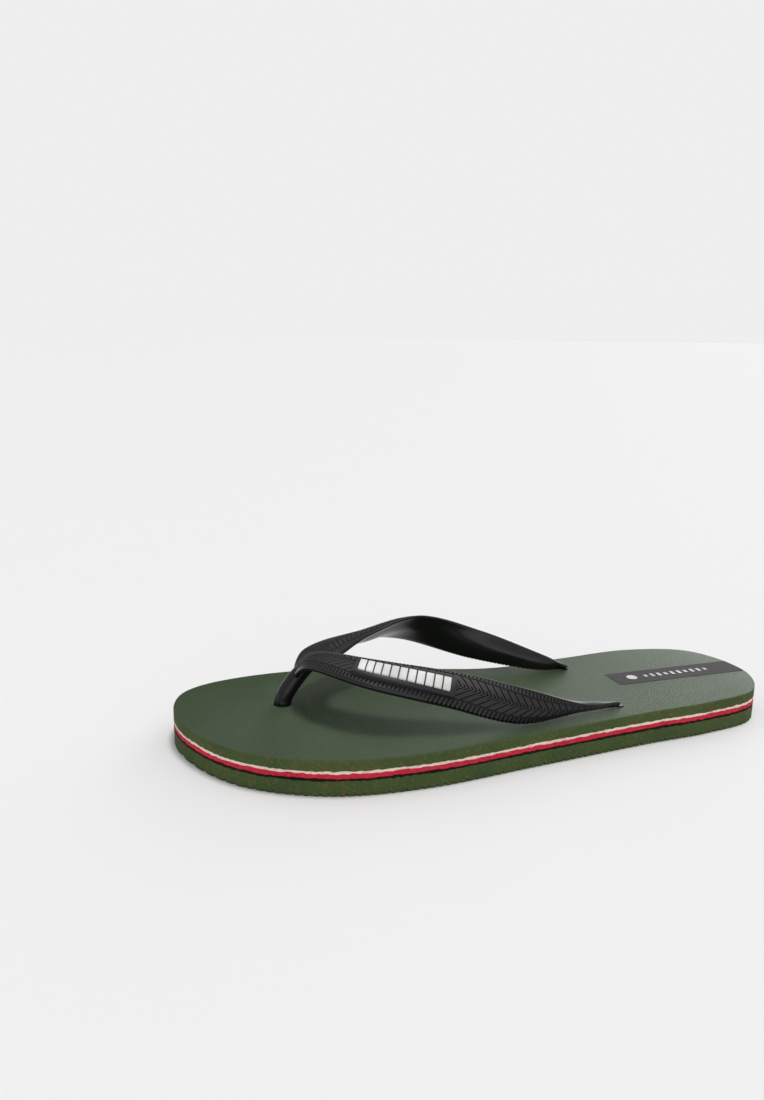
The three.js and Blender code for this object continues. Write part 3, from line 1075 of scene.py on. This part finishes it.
def mottle(tree, shader, vector, base, cloud, speck, speck_amount):
    """Gives a shader a mottled colour. Returns the inputs of the mottle."""
    made = tree.nodes.new("ShaderNodeGroup")
    made.node_tree = MOTTLE
    made.inputs["Base"].default_value = colour(*base)
    made.inputs["Cloud"].default_value = colour(*cloud)
    made.inputs["Speck"].default_value = colour(*speck)
    made.inputs["Speck Amount"].default_value = speck_amount
    tree.links.new(vector, made.inputs["Vector"])
    tree.links.new(made.outputs["Color"], shader.inputs["Base Color"])
    return made.inputs


def roughen(tree, shader, height, strength, distance):
    """Gives a shader fine bumps."""
    bump = tree.nodes.new("ShaderNodeBump")
    bump.inputs["Strength"].default_value = strength
    bump.inputs["Distance"].default_value = distance
    tree.links.new(height, bump.inputs["Height"])
    tree.links.new(bump.outputs["Normal"], shader.inputs["Normal"])


def foam(name, base, cloud, speck, speck_amount, fleck, fleck_amount):
    """Closed-cell foam: mottled colour and a fine cellular surface."""
    made, tree, shader = material(name)
    vector = object_vector(tree)
    inputs = mottle(tree, shader, vector, base, cloud, speck, speck_amount)
    inputs["Fleck"].default_value = colour(*fleck)
    inputs["Fleck Amount"].default_value = fleck_amount
    shader.inputs["Roughness"].default_value = 0.85
    shader.inputs["Specular IOR Level"].default_value = 0.2
    cell = tree.nodes.new("ShaderNodeTexVoronoi")
    cell.inputs["Scale"].default_value = CELL_SCALE
    tree.links.new(vector, cell.inputs["Vector"])
    roughen(tree, shader, cell.outputs["Distance"], 0.2, CELL_DEPTH)
    return made


def footbed_top():
    """The footbed's skin, pressed with a fine diamond lattice."""
    made, tree, shader = material("footbed_top")
    vector = object_vector(tree)
    mottle(tree, shader, vector, (50, 72, 37), (46, 67, 34), (64, 84, 50), 0.25)
    shader.inputs["Roughness"].default_value = 0.42
    shader.inputs["Specular IOR Level"].default_value = 0.55
    lattice = tree.nodes.new("ShaderNodeGroup")
    lattice.node_tree = LATTICE
    lattice.inputs["Pitch"].default_value = LATTICE_PITCH
    tree.links.new(vector, lattice.inputs["Vector"])
    roughen(tree, shader, lattice.outputs["Height"], 1.0, LATTICE_DEPTH)
    return made


def rubber(name, base, roughness):
    """Plain rubber or print, a little uneven in colour and surface."""
    made, tree, shader = material(name)
    vector = object_vector(tree)
    cloud = [0.85 * c for c in base]
    speck = [min(255, 1.5 * c + 8) for c in base]
    mottle(tree, shader, vector, base, cloud, speck, 0.15)
    shader.inputs["Roughness"].default_value = roughness
    roughen(tree, shader, noise_of(tree, vector, GRAIN_SCALE), 0.05, GRAIN_DEPTH)
    return made


def strap_rubber():
    """Moulded rubber: glossy where it is smooth, duller on the textured skin, with painted shade that
    darkens its grooves.
    """
    made, tree, shader = material("strap_rubber")
    shares = []
    for name in ("skin", "groove"):
        attribute = tree.nodes.new("ShaderNodeAttribute")
        attribute.attribute_name = name
        shares.append(attribute.outputs["Fac"])
    skin, groove = shares
    tone = mixed(tree, skin, colour(15, 15, 16), colour(29, 29, 31))
    # Painted shade: the groove attribute (the relief's depth) darkens the colour in the grooves, the
    # gutters and between the rim's teeth.
    tree.links.new(mixed(tree, groove, tone, colour(9, 9, 10)), shader.inputs["Base Color"])
    tree.links.new(ramp(tree, skin, 0, 1, 0.27, 0.58), shader.inputs["Roughness"])
    roughen(tree, shader, noise_of(tree, object_vector(tree), GRAIN_SCALE), 0.06, GRAIN_DEPTH)
    return made


def plain_floor():
    made, _, shader = material("studio_floor")
    shader.inputs["Base Color"].default_value = (0.86, 0.86, 0.865, 1)
    shader.inputs["Roughness"].default_value = 0.9
    shader.inputs["Specular IOR Level"].default_value = 0.1
    return made


def dress(obj, *materials):
    """Gives a piece these materials only."""
    obj.data.materials.clear()
    for made in materials:
        obj.data.materials.append(made)


# ---------------------------------------------------------------- camera, floor and light

LENS = 30.44
CAMERA_PLACE = (0.1787, 0.3785, 0.1816)
CAMERA_TURN = (76.873, -0.791, 161.63)  # degrees
NEAR_CLIP = 0.01


def set_camera():
    data = bpy.data.cameras.new("camera")
    data.lens = LENS
    data.clip_start = NEAR_CLIP
    camera = bpy.data.objects.new("camera", data)
    bpy.context.scene.collection.objects.link(camera)
    camera.location = CAMERA_PLACE
    camera.rotation_euler = [math.radians(turn) for turn in CAMERA_TURN]
    bpy.context.scene.camera = camera


def set_floor():
    bpy.ops.mesh.primitive_plane_add(size=60, location=(0, 0, 0))
    floor = take("floor")
    dress(floor, plain_floor())


SKY_LOW = 0.32
SKY_HIGH = 0.62
SKY_TOP = 0.9  # height share at which the sky is brightest
BACKGROUND = 0.86
SKY_EDGE = 0.09  # softness of the patches' sides
PATCH_TOP = (-0.12, 0.1)  # height shares round a patch's top over which it fades
# Patches of the sky: between two directions in degrees from +X, under a height share, and how
# much brighter than the rest. A dark upright stands behind the toes, a low soft light behind
# the heel, and a wide one in front of the outer side.
SKY_PATCHES = [(-119, -84, 0.62, 0.1), (-165, -119, 0.5, 6.0), (52, 108, 0.5, 2.5)]
KEY_PLACE = (-0.2, -0.02, 1.5)
KEY_STRENGTH = 1.3
KEY_SPREAD = 14  # degrees


def set_world():
    """A plain light background for the camera, and a patchy sky that lights the scene."""
    world = bpy.data.worlds.new("studio")
    bpy.context.scene.world = world
    world.use_nodes = True
    tree = world.node_tree
    nodes, links = tree.nodes, tree.links
    seen = nodes["Background"]
    seen.inputs["Color"].default_value = (BACKGROUND, BACKGROUND, BACKGROUND + 0.01, 1)
    lighting = nodes.new("ShaderNodeBackground")
    lighting.inputs["Color"].default_value = (1, 1, 1, 1)
    where = nodes.new("ShaderNodeTexCoord").outputs["Generated"]
    split = nodes.new("ShaderNodeSeparateXYZ")
    links.new(where, split.inputs["Vector"])
    up = split.outputs["Z"]

    def side_of(degrees, direction):
        """1 on one side of an upright plane through the origin, 0 on the other."""
        turn = math.radians(degrees)
        dot = nodes.new("ShaderNodeVectorMath")
        dot.operation = "DOT_PRODUCT"
        dot.inputs[1].default_value = (-math.sin(turn) * direction, math.cos(turn) * direction, 0)
        links.new(where, dot.inputs[0])
        return ramp(tree, dot.outputs["Value"], -SKY_EDGE, SKY_EDGE)

    strength = ramp(tree, up, 0, SKY_TOP, SKY_LOW, SKY_HIGH)
    for first, last, height, level in SKY_PATCHES:
        inside = calculate(tree, "MULTIPLY", side_of(first, 1), side_of(last, -1))
        below = ramp(tree, up, height + PATCH_TOP[0], height + PATCH_TOP[1], 1, 0)
        inside = calculate(tree, "MULTIPLY", inside, below)
        strength = calculate(tree, "MULTIPLY", strength, ramp(tree, inside, 0, 1, 1, level))
    links.new(strength, lighting.inputs["Strength"])
    path = nodes.new("ShaderNodeLightPath")
    mix = nodes.new("ShaderNodeMixShader")
    links.new(path.outputs["Is Camera Ray"], mix.inputs[0])
    links.new(lighting.outputs[0], mix.inputs[1])
    links.new(seen.outputs[0], mix.inputs[2])
    links.new(mix.outputs[0], nodes["World Output"].inputs["Surface"])


def set_light():
    """The sky and one wide soft key light from above."""
    set_world()
    data = bpy.data.lights.new("key", "SUN")
    data.energy = KEY_STRENGTH
    data.angle = math.radians(KEY_SPREAD)
    light = bpy.data.objects.new("key", data)
    bpy.context.scene.collection.objects.link(light)
    light.location = KEY_PLACE
    light.rotation_euler = (-Vector(KEY_PLACE)).to_track_quat("-Z", "Y").to_euler()
    light.visible_camera = False
    bpy.context.scene.view_settings.view_transform = "Standard"


# ---------------------------------------------------------------- assembly


def bend(piece):
    """Moves a piece's place, turn and size into its mesh."""
    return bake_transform(piece)


set_camera()
set_floor()
set_light()

foams = {
    "outsole": foam("outsole_foam", (74, 90, 50), (62, 82, 45), (100, 110, 68), 0.4, (128, 82, 60), 0.5),
    "black_stripe_sheet": foam(
        "black_foam", (30, 13, 12), (20, 9, 9), (58, 24, 24), 0.35, (96, 24, 32), 0.3
    ),
    "red_stripe_sheet": foam(
        "red_foam", (214, 46, 68), (198, 38, 60), (236, 104, 116), 0.35, (140, 22, 40), 0.35
    ),
    "white_stripe_sheet": foam(
        "white_foam", (250, 230, 214), (240, 210, 198), (254, 248, 240), 0.4, (228, 136, 134), 0.4
    ),
    "footbed": foam("footbed_foam", (78, 92, 51), (66, 84, 46), (110, 116, 74), 0.4, (134, 84, 60), 0.5),
}
piece_names = {
    "outsole": "ribbed_outsole",
    "black_stripe_sheet": "black_stripe",
    "red_stripe_sheet": "red_stripe",
    "white_stripe_sheet": "white_stripe",
    "footbed": "footbed_sheet",
}
top_finish = footbed_top()
for number, sheet in enumerate(SHEETS):
    if sheet == "outsole":
        places = strips(RIB_PITCH, RIB_PHASES)
    else:
        places = strips(SHEET_STRIP, [0])
    piece = sole_sheet(piece_names[sheet], number, SIDE_STEPS.get(sheet, THIN_SIDE), places)
    if sheet == "footbed":
        dress(piece, foams[sheet], top_finish)
        for face in piece.data.polygons:
            face.material_index = int(face.normal.z > 0.9 and face.center.z > TOP - 0.1 * MM)
    else:
        dress(piece, foams[sheet])
    bend(piece)
    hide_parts(sheet + "_rear", sheet + "_front")

black_rubber = strap_rubber()
plate_rubber = rubber("plate_rubber", (22, 22, 24), 0.5)
white_rubber = rubber("badge_white", (240, 240, 238), 0.5)
strap = strap_piece()
dress(strap, black_rubber)
bend(strap)
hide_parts("strap")

plate, bars = badge_pieces()
dress(plate, plate_rubber)
bend(plate)
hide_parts("badge_plate")
for i, bar in enumerate(bars):
    dress(bar, white_rubber)
    bend(bar)
    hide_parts(f"badge_bar_{i + 1}")

film = heel_label()
dress(film, rubber("label_film", (50, 45, 48), 0.66))
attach(film, "rearfoot")
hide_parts("heel_label")
marks = label_marks()
dress(marks, rubber("label_white", (214, 214, 212), 0.5))
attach(marks, "rearfoot")
